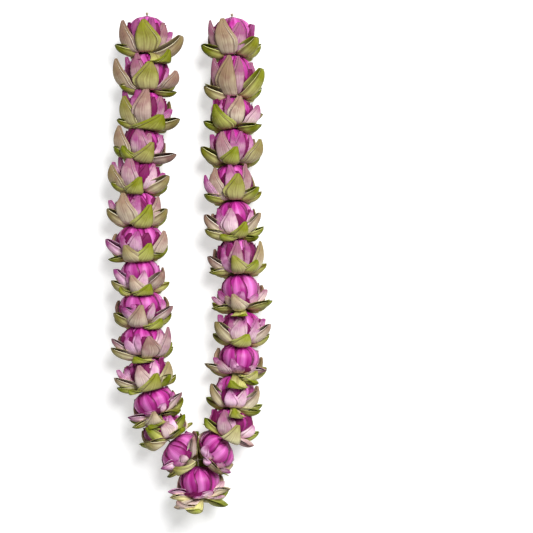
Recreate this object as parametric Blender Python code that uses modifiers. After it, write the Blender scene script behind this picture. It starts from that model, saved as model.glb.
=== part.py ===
"""A garland of folded lotus buds, laid flat: two strands that meet above a pendant bloom."""
import math

import bmesh
import bpy
from mathutils import Matrix, Vector

MM = 0.001

# Each strand runs from the point of the V to its top. A row gives one bloom: the place of its foot
# across and up the garland in mm, how open it is, and how far its front shield petal and its front
# pouch petal are turned to the right of the viewer, in degrees.
LEFT_STRAND = [
    (-11.0, -1.1, "dome", -48, -22),
    (-34.1, 20.9, "half", -10, -52),
    (-45.1, 48.4, "dome", 0, 44),
    (-56.7, 79.2, "half", 6, -32),
    (-61.0, 113.3, "dome", 22, 0),
    (-62.7, 149.6, "dome", 10, -36),
    (-64.9, 187.0, "dome", -3, 20),
    (-66.6, 223.3, "dome", 16, 4),
    (-68.2, 259.6, "open", -27, 12),
    (-68.2, 295.9, "open", -27, -10),
    (-64.9, 331.1, "half", 8, -35),
    (-59.4, 366.3, "open", -8, 14),
    (-57.8, 405.9, "open", 15, -45),
    (-58.3, 447.7, "open", 5, -42),
]
LEFT_END = (-58.3, 488.5)
RIGHT_STRAND = [
    (6.0, 1.1, "dome", 34, 8),
    (32.5, 22.6, "half", 0, 48),
    (36.3, 57.2, "half", -25, -10),
    (40.7, 93.5, "dome", 12, -22),
    (44.6, 128.7, "half", -28, 0),
    (45.7, 165.0, "dome", 4, -20),
    (42.9, 205.7, "dome", -30, -38),
    (39.1, 246.4, "half", 0, 6),
    (36.3, 286.0, "open", -16, 10),
    (34.7, 326.7, "open", -22, 0),
    (36.3, 365.2, "open", 5, -28),
    (37.4, 399.3, "open", 3, -26),
    (36.3, 445.5, "open", 0, -48),
]
RIGHT_END = (35.2, 487.3)
PENDANT = [(0.4, -43.5, "dome", 0, -35)]
PENDANT_END = (-1.6, -6.6)

# Common sizes of the blooms
AXIS_HEIGHT = 28.0 * MM
TYPICAL_PITCH = 36.0 * MM
FOOT_RADIUS = 7.0 * MM
FOOT_THICKNESS = 2.0 * MM
BUD_LIFT = 0.3 * MM
SEAT_GAP = 0.25 * MM
BEND_ROOM = 6.6 * MM
HOLE_RADIUS = 1.15 * MM
BLADE_THICKNESS = 1.0 * MM
ROUND_SIDES = 10
SIDE_ANGLE = 2.0 * math.pi / ROUND_SIDES
BUD_LOBE = 0.045
TOP_MARGIN = 1.05
BORE_MARGIN = 2.0
CORNER_MARGIN = 0.75
MIDDLE_SHARE = 0.45
WELD_REACH = 0.01 * MM

# Neighbouring blooms are parted by planes. A blade stays this far on its own side of them, and each
# inner layer of petals one step further. A negative distance lets the pouches droop a little past
# the plane, over the bloom below, unless the thread bends there by as much as the straightening
# angle.
PARTING_REACH = 68.0 * MM
TIP_GAP = 5.6 * MM
DROOP_GAP = -4.0 * MM
SIDE_GAP = 0.9 * MM
LAYER_STEP = 1.7 * MM
NO_DROOP_BEND = math.radians(20.0)
FLOOR_GAP = 1.4 * MM

# The lowest pouch of each bloom that the garland rests on is pressed flat on the surface.
PRESSED_GAP = 0.5 * MM
PRESSED_SKIN = 0.4 * MM
PRESSED_SWEEP = math.radians(30.0)

# The thread
THREAD_RADIUS = 0.75 * MM
KNOT_RADIUS = 2.0 * MM
KNOT_LIFT = 2.6 * MM
LOOP_RADIUS = 2.0 * MM
LOOP_POINTS = 10

# The bud's outline as radius and height, in mm for a bud of the typical pitch. The pink petals are
# raised from the narrow band under its belly.
PINK_BAND = [(15.8, 8.8), (15.0, 7.9)]
BUD_OUTLINE = {
    "dome": [(6.5, 34.6), (12.8, 32.4), (18.6, 27.0), (21.4, 18.0)],
    "half": [(6.0, 34.6), (11.8, 32.3), (17.0, 27.0), (19.6, 18.0)],
    "open": [(5.5, 34.6), (10.6, 32.0), (15.2, 27.0), (18.0, 18.0)],
}

# Rings of folded petals. The rows of a blade after its root are given as radius, height and half
# width in mm. Its sides bend in by "curl" and up by "trough", the corners of its last row lie lower
# than its peak by "drop", and "skew" moves that peak sideways, by a part of the half width.
PINK_RING = {
    "dome": dict(count=5, rows=[(22.0, 9.5, 8.6), (24.2, 15.5, 9.0)], drop=2.0, curl=3.0, trough=0.0,
                 skew=0.3, layer=2),
    "half": dict(count=4, rows=[(21.2, 11.0, 10.4), (22.8, 20.5, 9.8)], drop=3.5, curl=2.6, trough=0.0,
                 skew=0.3, layer=2),
    "open": dict(count=4, rows=[(20.4, 12.0, 11.0), (22.0, 26.5, 10.2)], drop=5.0, curl=2.4, trough=0.0,
                 skew=0.2, layer=2),
}
SHIELD_RING = {
    "dome": dict(count=5, rows=[(23.0, 5.6, 10.8), (31.0, 12.5, 8.0)], drop=3.5, curl=3.2, trough=0.0,
                 skew=0.4, layer=1),
    "half": dict(count=5, rows=[(23.5, 6.6, 11.6), (30.2, 18.5, 8.4)], drop=6.0, curl=3.8, trough=0.0,
                 skew=0.4, layer=1),
    "open": dict(count=5, rows=[(24.0, 7.8, 12.0), (29.4, 26.5, 8.8)], drop=10.0, curl=4.0, trough=0.0,
                 skew=0.3, layer=1),
}
POUCH_RING = {
    "dome": dict(count=5, rows=[(21.0, -2.0, 8.6), (32.0, 0.5, 5.6)], drop=-1.0, curl=-1.0, trough=4.0,
                 skew=0.0, layer=0),
    "half": dict(count=5, rows=[(21.0, -1.5, 8.8), (32.0, 2.5, 6.0)], drop=-1.0, curl=-1.0, trough=4.0,
                 skew=0.0, layer=0),
    "open": dict(count=5, rows=[(21.5, -0.5, 9.2), (33.0, 5.0, 6.2)], drop=-1.0, curl=-1.0, trough=4.2,
                 skew=0.0, layer=0),
}

COLOURS = {
    "lotus_pink": ((0.62, 0.10, 0.34, 1.0), 0.42),
    "petal_green": ((0.52, 0.55, 0.16, 1.0), 0.50),
    "cotton": ((0.80, 0.76, 0.66, 1.0), 0.90),
}


def clear_scene():
    for obj in list(bpy.data.objects):
        bpy.data.objects.remove(obj, do_unlink=True)


def make_material(name):
    colour, roughness = COLOURS[name]
    material = bpy.data.materials.new(name)
    material.use_nodes = True
    shader = material.node_tree.nodes["Principled BSDF"]
    shader.inputs["Base Color"].default_value = colour
    shader.inputs["Roughness"].default_value = roughness
    shader.inputs["Metallic"].default_value = 0.0
    return material


def make_collection(name):
    collection = bpy.data.collections.new(name)
    bpy.context.scene.collection.children.link(collection)
    return collection


def add_object(name, mesh, collection):
    obj = bpy.data.objects.new(name, mesh)
    collection.objects.link(obj)
    return obj


def evaluated_mesh(obj):
    graph = bpy.context.evaluated_depsgraph_get()
    return bpy.data.meshes.new_from_object(obj.evaluated_get(graph), depsgraph=graph)


def turned_mesh(name, outline, sides):
    """A solid of revolution from a closed outline of (radius, height) that runs down its outside."""
    mesh = bpy.data.meshes.new(name)
    bm = bmesh.new()
    corners = [bm.verts.new((radius, 0.0, height)) for radius, height in outline]
    for first, second in zip(corners, corners[1:] + corners[:1]):
        bm.edges.new((first, second))
    bm.to_mesh(mesh)
    bm.free()
    obj = add_object(name, mesh, bpy.context.scene.collection)
    screw = obj.modifiers.new("turn", "SCREW")
    screw.steps = screw.render_steps = sides
    screw.use_merge_vertices = True
    screw.merge_threshold = WELD_REACH
    turned = evaluated_mesh(obj)
    bpy.data.objects.remove(obj, do_unlink=True)
    return turned


def bud_mesh(kind, width, height):
    """The closed inner petals: a turned dome, its sides lobed by the petals' edges, with its bore."""
    top, bottom = BUD_OUTLINE[kind][0][1] * MM * height, FOOT_THICKNESS + BUD_LIFT
    outline = [(radius * MM * width, level * MM * height)
               for radius, level in BUD_OUTLINE[kind] + PINK_BAND] + [(FOOT_RADIUS, bottom)]
    mesh = turned_mesh("bud", outline + [(HOLE_RADIUS, bottom), (HOLE_RADIUS, top)], ROUND_SIDES)
    for vertex in mesh.vertices:
        if vertex.co.xy.length > outline[0][0] * TOP_MARGIN:
            side = round(math.atan2(vertex.co.y, vertex.co.x) / SIDE_ANGLE)
            swell = 1.0 + BUD_LOBE * (1 if side % 2 else -1)
            vertex.co.x *= swell
            vertex.co.y *= swell
    return mesh


def foot_mesh():
    """The cut foot of the flower, whose rim has one band for the shields and one for the pouches."""
    high = FOOT_THICKNESS
    rim = [(FOOT_RADIUS, high), (FOOT_RADIUS, high / 2.0), (FOOT_RADIUS, 0.0)]
    return turned_mesh("foot", rim + [(HOLE_RADIUS, 0.0), (HOLE_RADIUS, high)], ROUND_SIDES)


def root_faces(bm, band, corner):
    """The two faces of a band that meet at one of its corners."""
    picked = []
    for face in bm.faces:
        middle = face.calc_center_median()
        if band[0] < middle.z < band[1] and middle.xy.length > BORE_MARGIN * HOLE_RADIUS:
            turn = math.atan2(middle.y, middle.x) - corner * SIDE_ANGLE
            if abs(math.remainder(turn, 2.0 * math.pi)) < CORNER_MARGIN * SIDE_ANGLE:
                picked.append(face)
    return picked


def root_places(faces, corner):
    """The corners of the root faces, by their side of the blade and by its inner or outer skin."""
    places = {}
    verts = {vertex for face in faces for vertex in face.verts}
    middle = sum(vertex.co.z for vertex in verts) / len(verts)
    for vertex in verts:
        turn = math.atan2(vertex.co.y, vertex.co.x) - corner * SIDE_ANGLE
        side = round(math.remainder(turn, 2.0 * math.pi) / SIDE_ANGLE)
        places[side, 1 if vertex.co.z > middle else -1] = vertex.co.copy()
    return places


def middle_rows(ring, turn, root, bloom):
    """The blade's middle surface, row by row, bent clear of the planes that part its bloom."""
    spin = Matrix.Rotation(turn, 3, "Z")
    back = bloom["matrix"].inverted()
    rows = [[(root[side, 1] + root[side, -1]) / 2.0 for side in (-1, 0, 1)]]
    for number, (radius, level, half_width) in enumerate(ring["rows"], start=1):
        last = number == len(ring["rows"])
        row = []
        for side in (-1, 0, 1):
            bend = side * side
            rise = (ring["trough"] - (ring["drop"] if last else 0.0)) * bend
            shift = ring["skew"] * (1 - bend) if last else 0.0
            place = Vector(((radius - ring["curl"] * bend) * bloom["width"],
                            half_width * (side + shift) * bloom["width"],
                            (level + rise) * bloom["height"])) * MM
            place = bent_clear(bloom["matrix"] @ (spin @ place), bloom["planes"], ring["layer"])
            if bloom["pressed"] and ring["layer"] == 0 and -math.cos(turn) > math.cos(PRESSED_SWEEP):
                place.z = PRESSED_GAP
            row.append(back @ place)
        rows.append(row)
    return rows


def bent_clear(place, planes, layer):
    """A point moved just far enough to lie on its own side of every parting plane."""
    for point, normal, gap, droop in planes:
        distance = gap + layer * LAYER_STEP if layer else droop
        short = distance - (place - point).dot(normal)
        if short > 0.0:
            place = place + normal * short
    return place


def skin_places(rows, bloom):
    """The two skins of a blade on both sides of its middle surface."""
    steps = []
    to_world, back = bloom["matrix"], bloom["matrix"].inverted()
    for number in range(1, len(rows)):
        above = rows[min(number + 1, len(rows) - 1)]
        below = rows[number - 1]
        step = {}
        for side in (-1, 0, 1):
            along = above[side + 1] - below[side + 1]
            across = rows[number][min(side + 2, 2)] - rows[number][max(side, 0)]
            inward = along.cross(across).normalized()
            for skin in (1, -1):
                place = to_world @ (rows[number][side + 1] + inward * (skin * BLADE_THICKNESS / 2.0))
                if bloom["pressed"] and place.z < PRESSED_SKIN:
                    place.z = 0.0
                step[side, skin] = back @ place
        steps.append(step)
    return steps


def raise_blade(bm, band, ring, turn, bloom):
    """Raise one folded petal from two faces of a band, by extruding them row by row."""
    corner = round(turn / SIDE_ANGLE)
    faces = root_faces(bm, band, corner)
    places = root_places(faces, corner)
    for step in skin_places(middle_rows(ring, turn, places, bloom), bloom):
        grown = bmesh.ops.extrude_face_region(bm, geom=faces)["geom"]
        bmesh.ops.delete(bm, geom=faces, context="FACES")
        for vertex in [item for item in grown if isinstance(item, bmesh.types.BMVert)]:
            key = min(places, key=lambda name: (places[name] - vertex.co).length)
            vertex.co = step[key]
        faces = [item for item in grown if isinstance(item, bmesh.types.BMFace)]
        places = step


def grown_body(name, mesh, rings, bloom, collection):
    """A body with rings of petals raised from the bands of its surface."""
    bm = bmesh.new()
    bm.from_mesh(mesh)
    for band, ring, first in rings:
        for index in range(ring["count"]):
            turn = math.radians(first) + 2.0 * math.pi * index / ring["count"]
            raise_blade(bm, band, ring, turn, bloom)
    bmesh.ops.triangulate(bm, faces=bm.faces)
    bm.to_mesh(mesh)
    bm.free()
    mesh.name = name
    return add_object(name, mesh, collection)


def strand_blooms(label, rows, end):
    """Work out the frame and the size of each bloom of a strand, from its foot to the next one's."""
    feet = [Vector((across, up, 0.0)) * MM for across, up, *_ in rows] + [Vector((*end, 0.0)) * MM]
    feet = [foot + Vector((0.0, 0.0, AXIS_HEIGHT)) for foot in feet]
    axes = [(above - foot).normalized() for foot, above in zip(feet, feet[1:])]
    bends = [0.0] + [a.angle(b) for a, b in zip(axes, axes[1:])] + [0.0]
    toward_viewer = Vector((0.0, 0.0, 1.0))
    blooms = []
    for index, (_, _, kind, shield_turn, pouch_turn) in enumerate(rows):
        axis = axes[index]
        lift = SEAT_GAP + BEND_ROOM * math.tan(bends[index] / 2.0)
        fall = SEAT_GAP + BEND_ROOM * math.tan(bends[index + 1] / 2.0)
        length = (feet[index + 1] - feet[index]).length - lift - fall
        right = axis.cross(toward_viewer)
        turn = Matrix((toward_viewer, right, axis)).transposed().to_4x4()
        matrix = Matrix.Translation(feet[index] + axis * lift) @ turn
        number = len(rows) - index
        blooms.append({
            "name": f"{label}_{number:02d}" if len(rows) > 1 else label,
            "kind": kind, "shield_turn": shield_turn, "pouch_turn": pouch_turn,
            "matrix": matrix, "axis": axis, "length": length,
            "height": length / (BUD_OUTLINE[kind][0][1] * MM),
            "width": 1.0 + 0.5 * (length / TYPICAL_PITCH - 1.0),
            "centre": matrix @ Vector((0.0, 0.0, length * MIDDLE_SHARE)),
            "strand": label, "place": index, "foot": feet[index], "planes": [], "pressed": False,
        })
    return blooms


def add_parting_planes(blooms):
    """Give every bloom the planes that part it from the surface and from its neighbours."""
    up = Vector((0.0, 0.0, 1.0))
    for bloom in blooms:
        gap = PRESSED_GAP if bloom["pressed"] else FLOOR_GAP
        for other in blooms:
            step = other["place"] - bloom["place"] if other["strand"] == bloom["strand"] else None
            if step == 0:
                continue
            apart = bloom["centre"] - other["centre"]
            if step in (1, -1):
                normal = -step * (bloom["axis"] + other["axis"]).normalized()
                point = (other if step == 1 else bloom)["foot"]
                straight = 1.0 - min(1.0, bloom["axis"].angle(other["axis"]) / NO_DROOP_BEND)
                near = SIDE_GAP + (TIP_GAP - SIDE_GAP) * straight if step == 1 else SIDE_GAP
                droop = near if step == 1 else SIDE_GAP + (DROOP_GAP - SIDE_GAP) * straight
                bloom["planes"].append((point, normal, near, droop))
            elif apart.length < PARTING_REACH:
                point = other["centre"] + apart / 2.0
                bloom["planes"].append((point, apart.normalized(), SIDE_GAP, SIDE_GAP))
        bloom["planes"].append((Vector(), up, gap, gap))


def add_bloom(bloom, collection, materials, frame):
    """The two bodies of one bloom: the pink bud, and the foot with the green petals."""
    kind = bloom["kind"]
    high = FOOT_THICKNESS
    turn = bloom["shield_turn"]
    band = [level * MM * bloom["height"] for _, level in reversed(PINK_BAND)]
    half_step = 180.0 / PINK_RING[kind]["count"]
    pouch_kind = "open" if bloom["pressed"] else kind
    bud = grown_body(f"{bloom['name']}_pink_bud", bud_mesh(kind, bloom["width"], bloom["height"]),
                     [(band, PINK_RING[kind], turn + half_step)], bloom, collection)
    petals = grown_body(f"{bloom['name']}_green_petals", foot_mesh(),
                        [((high / 2.0, high), SHIELD_RING[kind], turn),
                         ((0.0, high / 2.0), POUCH_RING[pouch_kind], bloom["pouch_turn"])],
                        bloom, collection)
    for obj, material in ((bud, "lotus_pink"), (petals, "petal_green")):
        obj.data.materials.append(materials[material])
        obj.parent = frame
        obj.matrix_world = bloom["matrix"]


def tube_object(name, points, radius, closed=False):
    """A tube along the points, as a mesh whose caps are welded."""
    curve = bpy.data.curves.new(name, "CURVE")
    curve.dimensions = "3D"
    curve.bevel_depth = radius
    curve.bevel_resolution = 2
    curve.use_fill_caps = not closed
    spline = curve.splines.new("POLY")
    spline.points.add(len(points) - 1)
    for target, place in zip(spline.points, points):
        target.co = (*place, 1.0)
    spline.use_cyclic_u = closed
    guide = add_object(name, curve, bpy.context.scene.collection)
    mesh = evaluated_mesh(guide)
    bpy.data.objects.remove(guide, do_unlink=True)
    bm = bmesh.new()
    bm.from_mesh(mesh)
    bmesh.ops.remove_doubles(bm, verts=bm.verts, dist=WELD_REACH)
    bmesh.ops.recalc_face_normals(bm, faces=bm.faces)
    bm.to_mesh(mesh)
    bm.free()
    return mesh


def knot_mesh(place):
    """A small round stopper knot."""
    bm = bmesh.new()
    bmesh.ops.create_icosphere(bm, subdivisions=1, radius=KNOT_RADIUS,
                               matrix=Matrix.Translation(place))
    mesh = bpy.data.meshes.new("knot")
    bm.to_mesh(mesh)
    bm.free()
    return mesh


def join_thread(name, meshes, collection, material, frame):
    """One thread from its tube, its knots and its loop, joined by one Boolean union."""
    body = add_object(name, meshes[0], bpy.context.scene.collection)
    extras = make_collection("thread_ends")
    for mesh in meshes[1:]:
        add_object("thread_end", mesh, extras)
    union = body.modifiers.new("join", "BOOLEAN")
    union.operation = "UNION"
    union.operand_type = "COLLECTION"
    union.collection = extras
    union.solver = "EXACT"
    joined = evaluated_mesh(body)
    for obj in list(extras.objects) + [body]:
        bpy.data.objects.remove(obj, do_unlink=True)
    bpy.data.collections.remove(extras)
    joined.name = name
    joined.materials.clear()
    joined.materials.append(material)
    thread = add_object(name, joined, collection)
    thread.parent = frame
    return thread


def add_threads(left, right, pendant, collection, material, frame):
    """The neck thread through both strands, and the pendant thread looped round its lowest point."""
    ends = []
    for strand in (left, right):
        last = strand[-1]
        ends.append(last["matrix"] @ Vector((0.0, 0.0, last["length"] + KNOT_LIFT)))
    route = [ends[0]] + [bloom["foot"] for bloom in reversed(left)]
    route += [bloom["foot"] for bloom in right] + [ends[1]]
    tube = tube_object("neck_thread", route, THREAD_RADIUS)
    join_thread("neck_thread", [tube, knot_mesh(ends[0]), knot_mesh(ends[1])],
                collection, material, frame)

    crossing = left[0]["foot"].lerp(right[0]["foot"], 0.5)
    along = (right[0]["foot"] - left[0]["foot"]).normalized()
    down = -pendant["axis"]
    side = along.cross(down)
    turns = [2.0 * math.pi * (index + 0.5) / LOOP_POINTS for index in range(LOOP_POINTS)]
    ring = [crossing + (down * math.cos(turn) + side * math.sin(turn)) * LOOP_RADIUS for turn in turns]
    foot_end = pendant["foot"] + down * KNOT_LIFT
    mouth = pendant["matrix"] @ Vector((0.0, 0.0, pendant["length"]))
    stem = [crossing + down * LOOP_RADIUS, mouth, foot_end]
    join_thread("pendant_thread",
                [tube_object("pendant_thread", stem, THREAD_RADIUS),
                 tube_object("loop", ring, THREAD_RADIUS, closed=True), knot_mesh(foot_end)],
                collection, material, frame)


def centre_on_origin(frame, objects):
    """Shift the whole garland so that the origin is under the middle of its box."""
    bpy.context.view_layer.update()
    graph = bpy.context.evaluated_depsgraph_get()
    places = []
    for obj in objects:
        shape = obj.evaluated_get(graph)
        places += [obj.matrix_world @ vertex.co for vertex in shape.data.vertices]
    low = Vector([min(place[axis] for place in places) for axis in range(3)])
    high = Vector([max(place[axis] for place in places) for axis in range(3)])
    middle = (low + high) / 2.0
    frame.location = (-middle.x, -middle.y, -low.z)
    bpy.context.view_layer.update()


def main():
    clear_scene()
    collection = make_collection("lotus_garland")
    materials = {name: make_material(name) for name in COLOURS}
    frame = add_object("garland_frame", None, collection)

    left = strand_blooms("left", LEFT_STRAND, LEFT_END)
    right = strand_blooms("right", RIGHT_STRAND, RIGHT_END)
    pendant = strand_blooms("pendant", PENDANT, PENDANT_END)
    for bloom in (left[-1], right[-1], pendant[0]):
        bloom["pressed"] = True
    add_parting_planes(left + right + pendant)

    for bloom in left + right + pendant:
        add_bloom(bloom, collection, materials, frame)
    add_threads(left, right, pendant[0], collection, materials["cotton"], frame)
    centre_on_origin(frame, [obj for obj in collection.objects if obj.type == "MESH"])


main()
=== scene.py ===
import math
import random

import bpy
import numpy as np
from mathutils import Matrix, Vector


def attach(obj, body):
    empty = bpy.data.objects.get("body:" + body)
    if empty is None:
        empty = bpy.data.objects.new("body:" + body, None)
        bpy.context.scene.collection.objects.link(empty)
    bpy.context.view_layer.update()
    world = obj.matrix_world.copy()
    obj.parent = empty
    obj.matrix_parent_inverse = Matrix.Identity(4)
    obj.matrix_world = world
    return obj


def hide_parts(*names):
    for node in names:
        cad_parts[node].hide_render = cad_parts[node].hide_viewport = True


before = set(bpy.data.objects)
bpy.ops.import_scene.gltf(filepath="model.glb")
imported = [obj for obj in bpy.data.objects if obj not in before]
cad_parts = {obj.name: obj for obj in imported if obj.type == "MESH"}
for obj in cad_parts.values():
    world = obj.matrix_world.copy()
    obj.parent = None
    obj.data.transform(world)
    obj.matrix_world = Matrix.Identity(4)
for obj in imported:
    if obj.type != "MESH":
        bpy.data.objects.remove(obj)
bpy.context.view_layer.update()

MM = 0.001

# The layout of the garland in mm: where the point of the V lies in the frame, and each strand's
# feet of blooms across and up from there, lowest first, with the place where its last bloom ends.
LAYOUT_ORIGIN = (11.556, -222.377)
AXIS_HEIGHT = 28.0
STRANDS = {
    "left": [(-11.0, -1.1), (-34.1, 20.9), (-45.1, 48.4), (-56.7, 79.2), (-61.0, 113.3),
             (-62.7, 149.6), (-64.9, 187.0), (-66.6, 223.3), (-68.2, 259.6), (-68.2, 295.9),
             (-64.9, 331.1), (-59.4, 366.3), (-57.8, 405.9), (-58.3, 447.7), (-58.3, 488.5)],
    "right": [(6.0, 1.1), (32.5, 22.6), (36.3, 57.2), (40.7, 93.5), (44.6, 128.7),
              (45.7, 165.0), (42.9, 205.7), (39.1, 246.4), (36.3, 286.0), (34.7, 326.7),
              (36.3, 365.2), (37.4, 399.3), (36.3, 445.5), (35.2, 487.3)],
    "pendant": [(0.4, -43.5), (-1.6, -6.6)],
}

# How blooms follow one another, in mm: the typical pitch from foot to foot, the gap on each side
# of a seat, the room that a bend of the thread takes there, and a bud's height at that pitch; then
# how far up its middle lies, and how much its width follows its height.
TYPICAL_PITCH = 36.0
SEAT_GAP = 0.25
BEND_ROOM = 6.6
BUD_TOP = 34.6
MIDDLE_SHARE = 0.45
WIDTH_SHARE = 0.5

# The planes that part neighbours, in mm: how near blooms of two strands are parted, the bend from
# which no petal hangs over the bloom below, the distances kept from the bloom above, from other
# strands and from the floor, and how softly the planes push.
PARTING_REACH = 68.0
NO_DROOP_BEND = math.radians(20.0)
ABOVE_GAP = 0.2
STRAND_GAP = 0.4
FLOOR_GAP = 0.3
SOFT_PUSH = 0.8
STRAND_PUSH = 3.0

# A folded petal before it is bent into its place, in mm: its width and length, the part of it
# where its mouth begins, how far its peak lies towards the fold, the width of its end, the strip
# of flap behind the mouth, how far its front swells, how sharply that dies out and how far the
# flap curls; then how far out its peak stands, how low its hull hangs, how closely it hugs the
# bloom, how far it faces the viewer, its distance to the dome, and its root's part of its width.
PETAL_STYLES = {
    "shield": dict(
        width=20.0, length=32.0, shoulder=0.646, peak=4.0, end=0.8, strip=2.6, swell=2.2,
        taper=0.7, curl=0.5, reach=26.8, low=-0.4, hug=0.5, face=0.8, clear=5.0, root=0.4),
    "wedge": dict(
        width=26.0, length=24.0, shoulder=0.506, peak=9.5, end=2.0, strip=3.0, swell=4.2,
        taper=0.7, curl=1.0, reach=28.5, low=-3.5, hug=1.0, face=0.0, clear=4.0, root=0.5),
    "tongue": dict(
        width=15.0, length=28.0, shoulder=0.62, peak=4.4, end=1.8, strip=2.2, swell=1.6,
        taper=0.7, curl=0.8, reach=23.5, low=0.0, hug=0.6, face=0.8, clear=1.6, root=0.5),
    "loop": dict(
        width=6.0, length=20.0, shoulder=0.72, peak=1.6, end=1.8, strip=1.5, swell=1.6,
        taper=0.6, curl=0.6, reach=23.5, low=0.0, hug=0.3, face=0.8, clear=1.6, root=0.5),
    "boat": dict(
        width=16.0, length=30.0, shoulder=0.506, peak=3.0, end=7.0, strip=2.6, swell=10.0,
        taper=0.5, curl=1.5, reach=33.0, low=-4.0, hug=0.4, face=0.0, clear=-6.0, root=0.5),
}

# The net of a folded petal: its columns and rows, how much the rows crowd towards the peak, how
# near the columns beside the fold are drawn to it, and how deep the flap is folded.
FOLD_COLUMNS = FOLD_ROWS = 8
TIP_CROWD = 1.5
BESIDE_FOLD = 0.3
FOLD_DEPTH = 0.5
PETAL_THICKNESS = 0.55
# How exactly points are told to lie in a row, past the fold and above the shoulder.
ROW_REACH = 0.01
PAST_FOLD = 0.001
SHOULDER_SLACK = 0.002
# The powers of its outline at the base, the mouth and the fold and of its swelling, how much of
# that wave reaches the lip, and the part of the net that is front.
BASE_ROUND = 0.6
MOUTH_ROUND = 1.08
FOLD_ROUND = 2.0
SWELL_ROUND = 0.7
LIP_SHARE = 0.985
FRONT_SHARE = 0.499

# A petal is pink from this blush on, and a pink one is tinted by this part of its blush.
PINK_BLUSH = 0.8
PINK_FADE = 0.91

# Where petals start, as radius and height: pink ones, pink shields and green ones.
PINK_START = (7.0, 2.5)
SHIELD_START = (5.5, 2.2)
GREEN_START = (6.0, 0.6)
# How far in from the peak and how high the middle guiding point of a small petal lies; how a pink
# shield is tucked in, its depth and its distance to the dome.
GUIDE_STEP = 5.0
SHIELD_TUCK = 2.0
SHIELD_DEEP = 0.75
SHIELD_CLEAR = 2.4
# How deep a boat's hull may be.
LEAST_BULGE = 7.5
MOST_BULGE = 11.0
# Above CLEAR_FROM a petal stays outside its own dome, below UNDER_FROM outside the dome below by
# UNDER_CLEAR, and it is bent round no smaller radius than LEAST_RADIUS.
CLEAR_FROM = 2.4
UNDER_FROM = -1.0
UNDER_CLEAR = 1.6
LEAST_RADIUS = 4.0
# How far petals may hang over the plane under their bloom: upright ones, and boats, wedges and
# those with a hull lower than LOW_HULL, which may hang as low as their hull.
UPRIGHT_DROOP = 1.0
LOW_DROOP = 6.3
LOW_HULL = -3.0
# How far sideways a petal may turn, as a part of its reach; the reach of one that hangs in front
# of the bloom below; the rise from which petals lean in, by this part of the rest.
SIDEWAYS = {"wedge": 0.82, "shield": 0.88}
MOST_SIDEWAYS = 0.97
HANGING_REACH = 33.0
TALL_RISE = 24.0
LEAN = 0.3

# The ring of inner petals: count, width, reach, depth, distance to the dome, and how high they
# rise by the tallest pink petal in front of them, in tall and in low blooms; then how their rise,
# their blush and their places in the ring vary.
INNER_COUNT = 9
INNER_WIDTH = 17.0
INNER_REACH = 21.0
INNER_DEEP = 0.6
INNER_CLEAR = 0.7
INNER_SHARE = 0.85
LOW_INNER_SHARE = 0.55
INNER_TOP = 31.0
INNER_RISES = (0.85, 1.05)
INNER_BLUSHES = (1.01, 1.1)
INNER_TURNS = (0.3, 0.7)

# The shade of a petal, from 0, dull, to 1, bright: its least value and spread, how much of it the
# topmost blooms lose, and how much brighter pink petals are that end low.
LEAST_SHADE = 0.3
SHADE_SPREAD = 0.7
TOP_PLACE = 13.0
TOP_DUSK = 0.75
LOW_PINK_BLUSH = 0.85
LOW_PINK_TOP = 31.0
LOW_PINK_LIGHT = 0.4

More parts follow.
